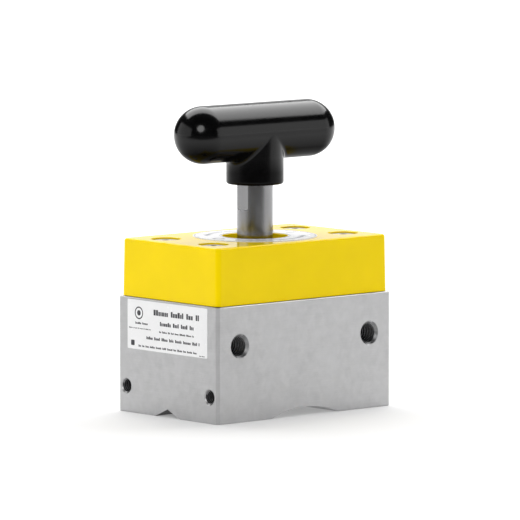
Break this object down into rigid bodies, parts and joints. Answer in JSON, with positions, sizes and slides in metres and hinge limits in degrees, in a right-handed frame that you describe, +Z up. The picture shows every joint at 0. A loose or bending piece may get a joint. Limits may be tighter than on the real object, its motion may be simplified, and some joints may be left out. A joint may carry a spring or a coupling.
{
  "type": "welding magnet holder",
  "caption": "Switchable magnetic work holder: steel block with a V-groove and tapped side holes, yellow cover, and a black T-handle that is pushed down and turned to switch the magnets.",
  "frame": {"origin": "centre of the block's bottom face, on the plate that the magnet stands on", "axes": "+X along the block's length, away from the sticker's face; +Y across its width, away from the long face in the picture; +Z up along the handle's shaft"},
  "size_m": [0.0639, 0.042, 0.085],
  "materials": {
    "block_steel": "ground and lightly oiled, faint grinding lines",
    "cover_yellow": "satin yellow paint with a slight texture",
    "grip_black": "glossy moulded phenolic",
    "shaft_steel": "turned and drawn steel",
    "screw_steel": "zinc-plated",
    "pin_steel": "ground",
    "hub_steel": "turned stainless",
    "magnet_nickel": "nickel-plated, satin",
    "brass": "rolled brass",
    "bronze": "sintered bronze",
    "rubber_black": "nitrile",
    "washer_white": "acetal",
    "label_white": "printed vinyl, semi-matt",
    "spring_steel": "music wire"
  },
  "bodies": {
    "base": {"housing": "block_steel", "cover": "cover_yellow", "cover_gasket": "rubber_black", "cover_screws": "screw_steel", "cover_dowels": "pin_steel", "dial_label": "label_white", "side_label": "label_white", "hub_bush": "bronze", "lock_ring": "hub_steel", "lock_ring_screws": "screw_steel", "thrust_washer": "washer_white", "stop_pin": "pin_steel", "magnet_shim": "brass", "lower_magnet": "magnet_nickel", "magnet_key": "pin_steel", "separator_disc": "brass"},
    "rotor": {"upper_magnet": "magnet_nickel", "drive_hub": "hub_steel", "drive_pins": "pin_steel", "shaft_seal": "rubber_black", "return_spring": "spring_steel"},
    "handle": {"shaft": "shaft_steel", "lock_pin": "pin_steel", "grip_insert": "brass", "grip": "grip_black"}
  },
  "joints": [
    {"name": "handle_turn", "type": "hinge", "parent": "base", "child": "rotor", "pos_m": [0, 0, 0.03], "axis": [0, 0, 1], "range_deg": [0, 180]},
    {"name": "handle_push", "type": "slide", "parent": "rotor", "child": "handle", "axis": [0, 0, -1], "range_m": [0, 0.004], "stiffness_N_per_m": 1500, "springref_m": -0.004, "deforming": ["return_spring"]}
  ]
}
